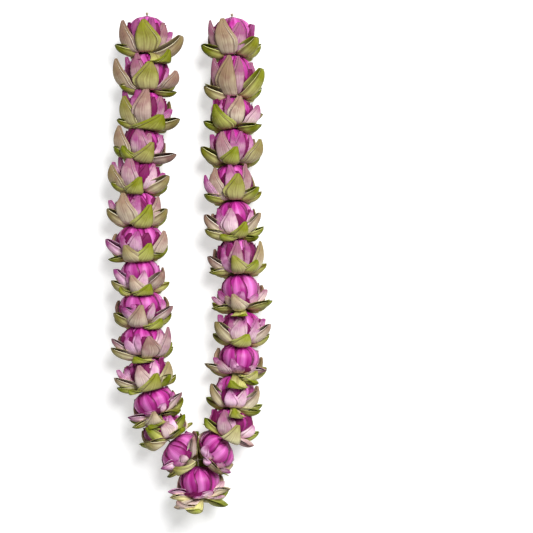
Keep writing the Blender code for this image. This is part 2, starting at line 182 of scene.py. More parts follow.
# What a bloom shows to the viewer: the radius of its dome and its front petals, in mm. A petal has
# its style, how far across and up from the bloom's foot its peak lies, its width and its blush
# from lime 0 by cream 0.5 to pink 1; then its hull's low point, where its style's doesn't fit, and
# its fold's side, left -1 or right 1, where it isn't the side it lies on.
FRONTS = {
    "left_01": (21.0, [("shield", -4, 34, 28, 0.27), ("shield", -26, 34, 20, 0.55),
        ("shield", 21, 31, 19, 0.82), ("loop", 28, 22, 9, 0.95), ("boat", 41, 16.5, 22, 0.45, -8),
        ("boat", -35, 7, 16, 0.15, -5), ("wedge", 27, 1.6, 23, 0.15, -14),
        ("loop", -12, 35, 9, 0.95), ("loop", 9, 36, 9, 0.95)]),
    "left_02": (21.0, [("shield", -12, 40, 19, 0.85), ("shield", 7, 30, 29, 0.3),
        ("shield", -33, 34, 20, 0.5), ("shield", 33, 20, 20, 0.58), ("tongue", 12, 30, 14, 0.85),
        ("loop", -23, 37, 8, 0.95), ("loop", 24, 24, 8, 0.95), ("boat", -30, 5, 14, 0.2),
        ("boat", 33, -3, 16, 0.2, -9)]),
    "left_03": (21.0, [("shield", -24.5, 32, 24, 0.33), ("shield", 2, 43, 22, 0.62),
        ("loop", -12, 43, 10, 1), ("loop", -26, 39, 10, 1), ("tongue", 17, 33, 17, 0.88),
        ("loop", 28, 20, 10, 0.95), ("wedge", 20.5, 12.8, 43, 0.2, -4.5),
        ("boat", 38, 9, 20, 0.38, -5.5), ("boat", -32, 5.6, 13, 0.2)]),
    "left_04": (21.0, [("shield", -7, 34, 22, 0.9), ("tongue", 9, 28, 14, 0.85),
        ("tongue", 20, 29, 13, 0.95), ("shield", -28, 32, 22, 0.52),
        ("wedge", 13.8, 18.8, 26, 0.3, -3), ("boat", 39, 10, 20, 0.6),
        ("wedge", -21, 11, 18, 0.08, -1), ("boat", -31, 8, 14, 0.1)]),
    "left_05": (21.0, [("shield", -12.5, 38, 20, 0.77), ("loop", -23.5, 35, 9, 0.95),
        ("loop", -30, 29, 9, 0.95), ("loop", -1, 36, 9, 1, 0.0, 1), ("shield", 18, 31, 16, 0.9),
        ("shield", -30, 25.6, 20, 0.45), ("wedge", 5.4, 14.7, 24, 0.2, -3),
        ("boat", 34, 19, 20, 0.4, -2), ("loop", 28, 22, 9, 1), ("boat", -30, 6, 14, 0.2)]),
    "left_06": (21.0, [("shield", -16.3, 33.7, 24, 0.52), ("tongue", 3, 33, 16, 0.95),
        ("wedge", 17, 21, 26, 0.2, -3), ("shield", 23.5, 30, 15, 0.65),
        ("loop", -31, 26, 10, 0.95), ("boat", -34, 16, 18, 0.4, -3),
        ("boat", 33.5, 16, 18, 0.4, -3)]),
    "left_07": (24.0, [("boat", -36, 20.6, 18, 0.95, 0), ("shield", -17.4, 24.4, 12, 1),
        ("tongue", 3, 27.7, 17, 0.95), ("loop", 21, 31, 10, 1), ("shield", 30, 27.7, 18, 0.6),
        ("wedge", -15, 13.7, 28, 0.42, -3), ("wedge", 16, 14.6, 26, 0.2, -3),
        ("boat", 29, 2, 12, 0.12, -5), ("boat", -34, -1.5, 15, 0.12, -6)]),
    "left_08": (20.5, [("boat", -28, 24, 16, 0.95, 4), ("shield", -13, 22, 12, 1),
        ("wedge", -9, 17, 20, 0.55, -1), ("shield", 7.8, 21.7, 13, 0.9),
        ("tongue", 23, 20.5, 12, 0.95), ("boat", 28.4, 18.7, 17, 0.6, 0),
        ("boat", -32, 11.5, 17, 0.35, -3), ("wedge", -21.7, 5, 13, 0.2, -3),
        ("wedge", 13.5, 6.5, 26, 0.18, -5)]),
    "left_09": (24.0, [("boat", -21, 20, 16, 0.97, 5), ("tongue", -9, 23, 14, 0.97),
        ("wedge", 4, 21.7, 27, 0.55, -1), ("tongue", 14, 23, 11, 0.9), ("loop", 24, 26, 9, 0.95),
        ("boat", 35, 18, 17, 0.7, 2), ("boat", -31, 14, 19, 0.32, -3),
        ("wedge", 22.6, 6, 24, 0.15, -4)]),
    "left_10": (24.0, [("tongue", -16.7, 23, 20, 0.95), ("loop", -2, 27, 9, 1, 0.0, 1),
        ("shield", 5.7, 24, 24, 0.62, -0.4, -1), ("shield", 20, 31, 14, 0.85),
        ("shield", 29, 33, 14, 0.75), ("boat", -35, 22, 16, 0.75, 4),
        ("boat", -36, 12, 17, 0.38, -3), ("boat", 32, 15, 16, 0.22, -2),
        ("wedge", -10, 2.3, 26, 0.15, -5.5)]),
    "left_11": (21.0, [("tongue", -22, 25, 17, 0.97), ("loop", -31, 24.5, 9, 1),
        ("shield", -6.7, 27.5, 20, 0.68), ("tongue", 12.7, 31.7, 14, 0.9),
        ("loop", 20.5, 34, 8, 0.95), ("shield", 26.7, 27.5, 18, 0.42),
        ("boat", -35.6, 16, 18, 0.48, -1), ("wedge", 14.8, 17, 28, 0.27, -3),
        ("boat", 28, 13, 12, 0.05, -3), ("boat", -34, 5, 13, 0.12, -5),
        ("wedge", -20, 2, 16, 0.12, -3.5)]),
    "left_12": (22.0, [("boat", -32, 11, 18, 0.93, 0), ("tongue", -12, 10, 12, 1),
        ("wedge", 1, 8.5, 22, 0.5, -4), ("loop", 13, 13, 9, 1), ("loop", 24.5, 19.6, 9, 1),
        ("boat", 34, 15.7, 12, 0.8, 4), ("boat", 27, -1, 15, 0.2, -6),
        ("boat", -31, -1, 14, 0.25, -6), ("wedge", -12, -3, 20, 0.12, -9)]),
    "left_13": (21.0, [("tongue", 2, 24, 20, 0.8, 0.0, -1), ("boat", -16, 25, 14, 0.12, 4),
        ("boat", 24, 10, 16, 0.12, -3), ("boat", -24, 9, 22, 0.38, -7), ("loop", 14, 27, 9, 0.95),
        ("boat", 29, 22, 12, 0.1, 6)]),
    "left_14": (22.5, [("boat", 26.6, 16.8, 14, 0.62, 2), ("wedge", -17, 9, 26, 0.32, -6),
        ("boat", -26, 18, 14, 0.97, 6), ("tongue", 1.9, 12.5, 11, 0.88), ("loop", -12, 12, 9, 1)]),
    "right_01": (21.0, [("shield", -12, 38, 24, 0.5), ("shield", -26, 37, 14, 0.85),
        ("shield", 10, 33, 22, 0.9), ("loop", 24, 32, 9, 1), ("boat", 29, 16, 20, 0.25),
        ("boat", -35, 10, 17, 0.15, -5)]),
    "right_02": (21.0, [("shield", -2, 44, 24, 0.5, -0.4, 1), ("shield", -23, 42, 18, 0.85),
        ("loop", -10, 44, 9, 1), ("shield", 8, 43, 15, 0.88), ("loop", 21, 37, 9, 0.9),
        ("boat", 33.6, 29, 22, 0.2, 0), ("boat", -33, 11, 18, 0.35, -5.5)]),
    "right_03": (21.0, [("tongue", 9, 33.6, 19, 0.55), ("wedge", -22, 24, 28, 0.15, -1),
        ("boat", 30.5, 3, 22, 0.12, -7.5), ("boat", 33, 15, 12, 0.35, 4),
        ("shield", 29, 25, 18, 0.87), ("shield", -7, 34, 12, 0.92), ("loop", -22, 31, 9, 1),
        ("loop", -14, 29, 8, 1), ("boat", -32.7, 5, 13, 0.08, -6)]),
    "right_04": (21.0, [("shield", -12.5, 32.8, 19, 0.72), ("shield", 11.4, 34, 16, 0.95),
        ("loop", -24, 30, 10, 1), ("boat", -34.7, 15, 18, 0.25, -3),
        ("wedge", 7, 16.7, 23, 0.15, -1), ("shield", 31, 26.5, 20, 0.38),
        ("loop", 20, 31, 9, 0.95), ("tongue", -1, 35, 9, 0.97)]),
    "right_05": (21.0, [("shield", -19, 35.6, 18, 0.6), ("shield", -31, 28, 13, 0.95),
        ("shield", -3, 39, 18, 0.95), ("shield", 17.4, 39, 14, 0.8),
        ("shield", 8.3, 27.9, 24, 0.28), ("boat", -31.7, 6.8, 17, 0.12),
        ("boat", 30, 12.5, 14, 0.15, -2)]),
    "right_06": (20.0, [("shield", -18.5, 31, 14, 1), ("shield", -2, 30.4, 20, 0.88, -0.4, 1),
        ("tongue", 21, 26.6, 11, 0.95), ("boat", 30, 23, 12, 0.5, 4),
        ("boat", -33, 25, 17, 0.55, 2), ("boat", -33.5, 9, 16, 0.3),
        ("wedge", -16, 3, 22, 0.15, -3), ("wedge", 13.7, 14.6, 20, 0.2, -1),
        ("boat", 26, -3, 13, 0.05, -9)]),
    "right_07": (20.5, [("shield", -17, 29, 14, 1), ("shield", 2.3, 36, 17, 0.85),
        ("loop", 12, 35, 8, 0.95), ("shield", 27, 33, 14, 0.45), ("boat", -33, 21, 18, 0.6, 2),
        ("wedge", -5.6, 20, 21, 0.3, 0), ("wedge", 22, 13, 20, 0.15, 0),
        ("boat", -32.8, 3.3, 14, 0.2, -2)]),
    "right_08": (20.5, [("wedge", -9.3, 19, 20, 0.5, 0), ("tongue", -16, 17, 12, 0.62),
        ("loop", -24, 23, 9, 1), ("loop", -31, 17, 8, 0.9), ("loop", 4, 21, 10, 1),
        ("tongue", 19, 17, 16, 0.97), ("loop", 29, 21, 10, 0.85), ("boat", 35, 8, 24, 0.2, -2),
        ("boat", -32.6, 4, 17, 0.2, -2), ("wedge", 5, -3, 20, 0.12, -8)]),
    "right_09": (21.0, [("shield", -0.4, 29.4, 20, 0.88, -0.4, 1), ("shield", -12, 33, 11, 0.95),
        ("loop", -25, 31, 10, 1), ("shield", 19, 29, 16, 0.92), ("loop", 26, 28, 8, 1),
        ("tongue", 6, 28, 9, 0.9), ("boat", -29, 23, 20, 0.42, 1.5), ("boat", 33, 22, 18, 0.55, 2),
        ("wedge", 10, 11.5, 26, 0.2, -1.3)]),
    "right_10": (21.5, [("loop", -27, 17, 10, 1), ("tongue", -8, 19, 10, 1),
        ("shield", -22, 15, 18, 0.88), ("tongue", 6, 12, 15, 1), ("tongue", 20, 14, 12, 0.9),
        ("boat", 32, 9, 12, 0.75, 2), ("wedge", 22, 8.5, 18, 0.3, -2),
        ("boat", -37, 9, 14, 0.42, 0), ("wedge", -7, -4, 24, 0.15, -13),
        ("boat", 25, -5, 16, 0.1, -9)]),
    "right_11": (21.0, [("shield", -6.6, 22, 17, 0.97), ("boat", -27.5, 25, 10, 0.45, 2),
        ("loop", -18, 27, 8, 1), ("shield", 12, 24, 13, 0.9), ("loop", 19, 26, 8, 1),
        ("boat", 27, 24, 10, 0.5, 0), ("wedge", 0, 3, 19, 0.22, -8, -1),
        ("boat", 31, 2, 16, 0.1, -7)]),
    "right_12": (21.0, [("shield", -10.5, 34, 20, 0.88), ("wedge", 10, 20, 26, 0.38, -4.4),
        ("shield", 26, 20, 17, 0.9), ("tongue", 4, 24, 13, 0.92), ("loop", -22, 32, 10, 1),
        ("boat", 27.6, -2, 16, 0.68, -8), ("boat", -30, 22, 13, 0.1, 0)]),
    "right_13": (21.5, [("shield", -12.1, 14.7, 12, 1), ("wedge", 5, 6, 10, 1, 0),
        ("boat", 23.3, 7, 22, 0.42, -3), ("loop", 27.5, 13.3, 10, 0.92), ("loop", 18, 14, 9, 0.95),
        ("loop", -3, 11, 9, 1)]),
    "pendant": (21.5, [("boat", -35, 11.4, 13, 0.97, 5), ("loop", -24, 12, 10, 1),
        ("tongue", -5, 6, 13, 1), ("tongue", 14, 12, 14, 0.92), ("shield", 27, 6, 18, 0.85),
        ("loop", 27, 20, 10, 0.85), ("boat", 34.5, 11, 11, 0.45, 4), ("wedge", -25, 3, 24, 0.65),
        ("boat", -33, 5, 11, 0.35, 0), ("boat", 31, -6, 18, 0.12, -8),
        ("boat", -29, -5, 16, 0.55, -8), ("wedge", 0, -5, 22, 0.2, -8)]),
}

# The petals of the side that lies down: style, degrees round the bloom from the viewer, rise,
# width and blush; how far their rise, width, blush and degrees vary, and how much less they reach;
# and the way of the pendant's hidden petal, whose dark green shows behind the V.
BACK_RISES = (-3.0, 3.0)
BACK_WIDTHS = (0.9, 1.1)
BACK_BLUSHES = (-0.12, 0.05)
BACK_TURNS = (-6.0, 6.0)
BACK_TUCK = 1.0
HIDDEN_WAY = [(6.5, 1.0), (24.0, 18.0), (13.0, 74.0)]
BACK_PETALS = [
    ("shield", 118, 24, 22, 0.5), ("shield", 180, 26, 24, 0.45), ("shield", 242, 24, 22, 0.55),
    ("boat", 105, 8, 16, 0.2), ("wedge", 150, 8, 24, 0.2), ("wedge", 205, 8, 24, 0.15),
    ("boat", 255, 8, 16, 0.2), ("tongue", 125, 27, 15, 0.95), ("tongue", 185, 28, 15, 0.9),
    ("tongue", 235, 27, 15, 0.95),
]


def deselect_all():
    bpy.ops.object.select_all(action="DESELECT")


def linked(name, data):
    obj = bpy.data.objects.new(name, data)
    bpy.context.scene.collection.objects.link(obj)
    return obj


def select_points(obj, test):
    """In edit mode, select the points whose place passes the test."""
    bpy.ops.object.mode_set(mode="OBJECT")
    mesh = obj.data
    for item in (mesh.polygons, mesh.edges):
        item.foreach_set("select", [False] * len(item))
    mesh.vertices.foreach_set("select", [bool(test(v.co)) for v in mesh.vertices])
    bpy.ops.object.mode_set(mode="EDIT")
    bpy.ops.mesh.select_mode(type="VERT")


def finish_mesh(obj, kind, **settings):
    """Apply a modifier with its settings, and smooth the faces."""
    deselect_all()
    obj.select_set(True)
    bpy.context.view_layer.objects.active = obj
    modifier = obj.modifiers.new(kind.lower(), kind)
    for name, value in settings.items():
        setattr(modifier, name, value)
    bpy.ops.object.modifier_apply(modifier=modifier.name)
    bpy.ops.object.shade_smooth()


def places_of(mesh):
    places = np.empty(len(mesh.vertices) * 3)
    mesh.vertices.foreach_get("co", places)
    return places.reshape(-1, 3)


def on_row(along):
    """The test for points that lie at a distance along a flat petal."""
    return lambda co: abs(co.y - along) < ROW_REACH


def widen(obj, test, factor, along=0.0):
    """In edit mode, scale the points that pass the test across the petal."""
    select_points(obj, test)
    bpy.ops.transform.resize(value=(factor, 1.0, 1.0), center_override=(0.0, along, 0.0))


def petal_grid(columns, rows, length):
    """A flat grid in edit mode: X from -1 to 1 across the petal, Y from 0 to its length."""
    deselect_all()
    bpy.ops.mesh.primitive_grid_add(x_subdivisions=columns, y_subdivisions=rows, size=2.0)
    bpy.ops.object.mode_set(mode="EDIT")
    bpy.ops.mesh.select_all(action="SELECT")
    bpy.ops.transform.translate(value=(0.0, 1.0, 0.0))
    bpy.ops.transform.resize(value=(1.0, length / 2.0, 1.0), center_override=(0.0, 0.0, 0.0))
    return bpy.context.object


def folded_petal(style, smooth):
    """A petal folded lengthwise: a swollen front and a flap behind it, with a slanting mouth. X is
    across it, Y runs from its root to its peak, and its front faces Z. All in mm."""
    width, length, shoulder = style["width"], style["length"], style["shoulder"]
    half, root = width / 2.0, width * style["root"] / 2.0
    obj = petal_grid(FOLD_COLUMNS, FOLD_ROWS, length)
    # the rows crowd towards the peak
    levels = [1.0 - (1.0 - row / FOLD_ROWS) ** TIP_CROWD for row in range(FOLD_ROWS + 1)]
    for row in range(FOLD_ROWS - 1, 0, -1):
        even = row / FOLD_ROWS
        select_points(obj, on_row(even * length))
        bpy.ops.transform.translate(value=(0.0, (levels[row] - even) * length, 0.0))
    # the two columns beside the fold are drawn close to it
    near = 2.0 / FOLD_COLUMNS
    widen(obj, lambda co: abs(abs(co.x) - near) < ROW_REACH, BESIDE_FOLD)
    # the rows take the petal's outline, and its flap is wider than its front by the strip
    bows = {}
    for level in levels:
        if level < shoulder - SHOULDER_SLACK:
            bows[level] = root + (half - root) * (level / shoulder) ** BASE_ROUND
            mouth = root + (half - root) * level / shoulder
        else:
            fall = max(0.0, level - shoulder) / (1.0 - shoulder)
            bows[level] = half - (half - style["peak"]) * fall ** FOLD_ROUND
            mouth = half - (half + style["peak"] - style["end"]) * fall ** MOUTH_ROUND
        breadth = bows[level] + mouth
        in_row = on_row(level * length)
        widen(obj, in_row, breadth, level * length)
        extra = style["strip"] * min(1.0, level / shoulder)
        widen(obj, lambda co: in_row(co) and co.x > PAST_FOLD, (breadth + extra) / breadth,
              level * length)
    # the flap is folded behind the front
    select_points(obj, lambda co: co.x > PAST_FOLD)
    bpy.ops.transform.rotate(value=math.pi, orient_axis="Y",
                             center_override=(0.0, 0.0, -FOLD_DEPTH))
    # the fold bows out over the shoulder and in to the peak
    for level in levels:
        select_points(obj, on_row(level * length))
        bpy.ops.transform.translate(value=(bows[level], 0.0, 0.0))
    bpy.ops.object.mode_set(mode="OBJECT")
    # the front swells between the fold and its free edge, and the flap curls away from it
    places = places_of(obj.data)
    uv = np.zeros((len(places), 2))
    for loop, data in zip(obj.data.loops, obj.data.uv_layers[0].data):
        uv[loop.vertex_index] = data.uv
    along = np.sin(np.clip(places[:, 1] / length, 0.0, 1.0) * math.pi) ** style["taper"]
    across = np.clip(1.0 - 2.0 * uv[:, 0], -1.0, 1.0)
    wave = np.sin(np.clip(across * LIP_SHARE, 0.0, 1.0) * math.pi) ** SWELL_ROUND
    front = style["swell"] * along * wave
    flap = style["curl"] * along * np.clip(across, -1.0, 0.0) ** 2
    places[:, 2] += np.where(uv[:, 0] < FRONT_SHARE, front, -flap)
    obj.data.vertices.foreach_set("co", places.ravel())
    finish_mesh(obj, "SOLIDIFY", thickness=PETAL_THICKNESS, offset=-1.0, material_offset=1)
    if smooth:
        finish_mesh(obj, "SUBSURF", levels=1, render_levels=1)
    return obj


def bud_petal():
    """One long petal of the closed bud, flat: X across it, Y along it, in parts of its size."""
    obj = petal_grid(BUD_COLUMNS, BUD_ROWS, 1.0)
    # it is narrow at its foot, widest below its middle and ends in a point
    for row in range(BUD_ROWS + 1):
        level = row / BUD_ROWS
        breadth = max(LEAST_BREADTH, (math.sin(math.pi * (0.12 + 0.86 * level) ** 0.9)) ** 0.6)
        widen(obj, on_row(level), breadth, level)
    bpy.ops.object.mode_set(mode="OBJECT")
    return obj


def strand_blooms(label, rows):
    """The frame and size of each bloom of a strand, from its foot to the next one's, in mm."""
    shift = np.array([*LAYOUT_ORIGIN, AXIS_HEIGHT])
    feet = [np.array([across, up, 0.0]) + shift for across, up in rows]
    axes = [(b - a) / np.linalg.norm(b - a) for a, b in zip(feet, feet[1:])]
    bends = [0.0] + [math.acos(min(1.0, a @ b)) for a, b in zip(axes, axes[1:])] + [0.0]
    viewer = np.array([0.0, 0.0, 1.0])
    blooms = []
    for index, axis in enumerate(axes):
        lift = SEAT_GAP + BEND_ROOM * math.tan(bends[index] / 2.0)
        fall = SEAT_GAP + BEND_ROOM * math.tan(bends[index + 1] / 2.0)
        length = np.linalg.norm(feet[index + 1] - feet[index]) - lift - fall
        name = f"{label}_{len(axes) - index:02d}" if len(axes) > 1 else label
        radius, front = FRONTS[name]
        start = feet[index] + axis * lift
        blooms.append(dict(
            name=name, radius=radius, front=front, start=start, axis=axis,
            turn=np.array([viewer, np.cross(axis, viewer), axis]), height=length / BUD_TOP,
            width=1.0 + WIDTH_SHARE * (length / TYPICAL_PITCH - 1.0),
            centre=start + axis * length * MIDDLE_SHARE, strand=label, place=index, lift=lift,
            foot=feet[index], planes=[], below=blooms[-1] if blooms else None))
    return blooms


def add_parting_planes(blooms):
    """Give every bloom the planes that keep its petals clear of its neighbours and of the floor.
    A plane has a point, a normal, the distance kept, how much of their droop the petals may hang
    over it and how softly it pushes."""
    up = np.array([0.0, 0.0, 1.0])
    for bloom in blooms:
        for other in blooms:
            step = other["place"] - bloom["place"] if other["strand"] == bloom["strand"] else None
            if step == 0:
                continue
            apart = bloom["centre"] - other["centre"]
            if step in (1, -1):
                normal = bloom["axis"] + other["axis"]
                normal = -step * normal / np.linalg.norm(normal)
                point = (other if step == 1 else bloom)["foot"]
                bend = math.acos(min(1.0, bloom["axis"] @ other["axis"]))
                straight = 1.0 - min(1.0, bend / NO_DROOP_BEND)
                near, hang = (ABOVE_GAP, 0.0) if step == 1 else (0.0, straight)
                bloom["planes"].append((point, normal, near, hang, SOFT_PUSH))
            elif np.linalg.norm(apart) < PARTING_REACH:
                point = other["centre"] + apart / 2.0
                normal = apart / np.linalg.norm(apart)
                bloom["planes"].append((point, normal, STRAND_GAP, 0.0, STRAND_PUSH))
        bloom["planes"].append((np.zeros(3), up, FLOOR_GAP, 0.0, SOFT_PUSH))


def pushed_clear(places, planes, droop):
    """Points moved softly to their own side of every plane, so that they keep their order."""
    for point, normal, near, hang, soft in planes:
        short = near - droop * hang + soft - (places - point) @ normal
        short = np.maximum(short, 0.0)
        places = places + np.outer(short - soft * (1.0 - np.exp(-short / soft)), normal)
    return places


def curve(start, guide, end, along):
    """A bend between three guiding values: its value and its slope along the petal."""
    value = (1 - along) ** 2 * start + 2 * along * (1 - along) * guide + along ** 2 * end
    return value, 2 * (1 - along) * (guide - start) + 2 * along * (end - guide)


def bent_places(flat, petal, bloom):
    """The places of a flat petal's points once it is bent along its way out of the foot, which is
    drawn by three guiding points of radius and height."""
    x = flat[:, 0] * petal["wide"] * petal["side"]
    along = np.clip(flat[:, 1] / petal["length"], -0.02, 1.02)
    deep = flat[:, 2] * petal["deep"]
    radii, heights = zip(*petal["way"])
    radius, out = curve(*radii, along)
    level, up = curve(*heights, along)
    size = np.hypot(out, up)
    dome = dome_share(level / bloom["height"]) * bloom["radius"] + petal["clear"]
    radius = np.where(level > CLEAR_FROM, np.maximum(radius, dome), radius)
    below = bloom["below"]
    if below:
        under = dome_share(BUD_TOP + level / below["height"]) * below["radius"] + UNDER_CLEAR
        radius = np.where(level < UNDER_FROM, np.maximum(radius, under), radius)
    radius = radius + deep * up / size
    level = level - deep * out / size
    angle = x * petal["hug"] / np.maximum(radius, LEAST_RADIUS)
    side = x * (1.0 - petal["hug"])
    turn = petal["turn"]
    face = petal["face"] if math.cos(turn) > 0.0 else 0.0
    local = np.empty_like(flat)
    local[:, 0] = radius * np.cos(turn + angle) - side * (1.0 - face) * math.sin(turn)
    local[:, 1] = radius * np.sin(turn + angle) + side * ((1.0 - face) * math.cos(turn) + face)
    local[:, 2] = level
    places = local @ bloom["turn"] + bloom["start"]
    planes = bloom["planes"] if petal.get("planes", True) else bloom["planes"][-1:]
    return pushed_clear(places, planes, petal["droop"])


def guide_height(low, rise):
    """The height of the middle guiding point that lets a petal's way dip down to low."""
    if low >= 0.0:
        return 1.5 * low
    return low - math.sqrt(max(low * low - low * rise, 0.0))


def shaped_petal(style, rise, width, blush, side, reach, low):
    """What a petal is bent by, but for its turn round the bloom."""
    shape = PETAL_STYLES[style]
    pink = style in ("tongue", "loop")
    start = PINK_START if pink else GREEN_START
    guide, deep, clear = (reach - GUIDE_STEP, GUIDE_STEP), 1.0, shape["clear"]
    if style == "boat":
        # a straight keel whose hull hangs down to its lowest point halfway out
        middle = (start[1] + rise) / 2.0
        bulge = min(max(middle - low, LEAST_BULGE), MOST_BULGE)
        deep = bulge / shape["swell"]
        guide = ((start[0] + reach) / 2.0, 2.0 * (low + bulge) - middle)
    elif not pink:
        if style == "shield" and blush >= PINK_BLUSH:
            # a pink shield lies behind the cream and the lime ones
            start, reach = SHIELD_START, reach - SHIELD_TUCK
            guide, deep, clear = (reach, 0.0), SHIELD_DEEP, SHIELD_CLEAR
        else:
            guide = (reach + 1.0, guide_height(low, rise))
    if pink and blush < PINK_BLUSH:
        clear = PETAL_STYLES["shield"]["clear"]
    low_hung = style in ("wedge", "boat") or low < LOW_HULL
    return dict(style=style, way=[start, guide, (reach, rise)], wide=width / shape["width"],
                side=side, blush=blush, hug=shape["hug"], face=shape["face"], clear=clear,
                deep=deep, droop=max(LOW_DROOP, -low) if low_hung else UPRIGHT_DROOP)


def front_petals(bloom):
    """The petals that the viewer sees, placed by where their peaks are seen."""
    petals = []
    for style, across, rise, width, blush, *rest in bloom["front"]:
        shape = PETAL_STYLES[style]
        low = rest[0] if rest else shape["low"]
        side = rest[1] if len(rest) > 1 else math.copysign(1, across)
        reach = shape["reach"]
        if style == "wedge" and low < -LOW_DROOP:
            # it hangs in front of the bloom below
            reach = HANGING_REACH
        if style in ("tongue", "loop", "shield"):
            # the taller a petal, the closer its peak leans to the bud
            reach -= LEAN * max(0.0, rise - TALL_RISE)
        reach = max(reach, abs(across) / SIDEWAYS.get(style, MOST_SIDEWAYS))
        petal = shaped_petal(style, rise - bloom["lift"], width, blush, side, reach, low)
        peak = shape["peak"] * petal["wide"] * side
        petal["turn"] = math.asin(across / reach) - peak / reach
        petals.append(petal)
    return petals


def inner_petals(bloom):
    """The pink petals that lie closest to the dome and fill the spaces between the others."""
    dice = random.Random(bloom["name"] + "inner")
    tallest = max(petal[2] for petal in bloom["front"] if petal[4] >= PINK_BLUSH)
    share = INNER_SHARE if tallest > TALL_RISE else LOW_INNER_SHARE
    petals = []
    for index in range(INNER_COUNT):
        rise = min(share * tallest, INNER_TOP) * dice.uniform(*INNER_RISES)
        petal = shaped_petal("tongue", rise, INNER_WIDTH, dice.uniform(*INNER_BLUSHES),
                             dice.choice((-1, 1)), INNER_REACH, 0.0)
        petal["clear"], petal["deep"] = INNER_CLEAR, INNER_DEEP
        petal["turn"] = 2.0 * math.pi * (index + dice.uniform(*INNER_TURNS)) / INNER_COUNT
        petals.append(petal)
    return petals


def back_petals(bloom):
    """The petals of the side that lies down, with small differences from bloom to bloom."""
    dice = random.Random(bloom["name"])
    petals = []
    for style, degrees, rise, width, blush in BACK_PETALS:
        shape = PETAL_STYLES[style]
        petal = shaped_petal(style, (rise + dice.uniform(*BACK_RISES)) * bloom["height"],
                             width * dice.uniform(*BACK_WIDTHS),
                             blush + dice.uniform(*BACK_BLUSHES), dice.choice((-1, 1)),
                             shape["reach"] - BACK_TUCK, shape["low"])
        petal["turn"] = math.radians(degrees + dice.uniform(*BACK_TURNS))
        petals.append(petal)
    if bloom["name"] == "pendant":
        petals.append(dict(petals[1], way=HIDDEN_WAY, blush=0.0, planes=False))
    return petals


def moved_copy(template, places, blush, shade):
    """A copy of a flat petal with its points at other places in mm, and its tints on them."""
    mesh = template.data.copy()
    mesh.vertices.foreach_set("co", (places * MM).ravel())
    for name, value in (("blush", blush), ("shade", shade)):
        layer = mesh.attributes.new(name, "FLOAT", "POINT")
        layer.data.foreach_set("value", [value] * len(mesh.vertices))
    return linked("petal", mesh)


def placed_petal(template, petal, bloom, shade):
    """A folded petal bent into its place in a bloom."""
    petal = dict(petal, length=template["length"])
    blush = petal["blush"]
    obj = moved_copy(template, bent_places(places_of(template.data), petal, bloom),
                     blush * PINK_FADE if PINK_BLUSH <= blush <= 1.0 else blush, shade)
    if petal["side"] < 0:
        obj.data.flip_normals()
    return obj


# The dome's outline as parts of its radius at heights in mm for a bud of the typical pitch.
DOME_OUTLINE = [(0.36, 2.4), (0.70, 6.0), (0.88, 10.5), (1.0, 17.5), (1.0, 22.0), (0.90, 27.0),
                (0.68, 31.4), (0.36, 33.8), (0.08, 34.8)]
# The layers of the closed bud: count of petals, half their angle, and how deep they lie; then the
# turn from layer to layer, how the turn and the angle of a petal vary, how far its edge rises over
# the next, and the radius under which it rises less. All in degrees and mm.
BUD_LAYERS = [(5, 46.0, 1.0), (7, 35.0, 0.1)]
LAYER_TURN = 20.0
BUD_TURNS = (-6.0, 6.0)
BUD_ANGLES = (0.92, 1.08)
BUD_OVERLAP = 0.75
FULL_RADIUS = 16.0
# The net of a bud petal, its least breadth, foot, length and thickness, for the typical pitch.
BUD_COLUMNS = 8
BUD_ROWS = 12
LEAST_BREADTH = 0.03
BUD_FOOT = 2.6
BUD_LENGTH = 32.2
BUD_THICKNESS = 0.5


def dome_share(level):
    """The dome's radius at a height, as a part of its full radius, from the smoothed outline."""
    shares, levels = zip(*DOME_OUTLINE)
    fine = np.linspace(levels[0], levels[-1], 60)
    rough = np.interp(fine, levels, shares)
    for _ in range(6):
        rough[1:-1] = (rough[:-2] + 2.0 * rough[1:-1] + rough[2:]) / 4.0
    return np.interp(level, fine, rough)


def bud_pieces(bloom, template):
    """The closed bud: long petals that overlap round it, each over the edge of the next."""
    dice = random.Random(bloom["name"] + "bud")
    flat = places_of(template.data)
    level = BUD_FOOT + flat[:, 1] * BUD_LENGTH
    rows = np.round(flat[:, 1] * BUD_ROWS).astype(int)
    widest = np.array([np.abs(flat[rows == row, 0]).max() for row in range(BUD_ROWS + 1)])
    # the inner petals stay wide to their tips, so that they close the bud
    edges = [flat[:, 0] / widest[rows], flat[:, 0]]
    offset = dice.uniform(0.0, 360.0)
    pieces = []
    for layer, (count, half_angle, sink) in enumerate(BUD_LAYERS):
        for index in range(count):
            turn = math.radians(offset + layer * LAYER_TURN + 360.0 * index / count
                                + dice.uniform(*BUD_TURNS))
            spread = math.radians(half_angle * dice.uniform(*BUD_ANGLES))
            radius = dome_share(level) * bloom["radius"]
            rise = BUD_OVERLAP * edges[layer] * np.clip(radius / FULL_RADIUS, 0.2, 1.0)
            radius = np.maximum(radius - sink + rise, 0.5)
            angle = turn + edges[layer] * spread
            local = np.stack([radius * np.cos(angle), radius * np.sin(angle),
                              level * bloom["height"]], axis=1)
            obj = moved_copy(template, local @ bloom["turn"] + bloom["start"], 1.0, dice.random())
            finish_mesh(obj, "SOLIDIFY", thickness=BUD_THICKNESS * MM, offset=-1.0)
            pieces.append(obj)
    return pieces


# The disc of the cut foot: its radius, thickness, height over the seat and rim, in mm.
FOOT_RADIUS = 6.2
FOOT_THICKNESS = 1.4
FOOT_HEIGHT = 0.8
FOOT_RIM = 0.4


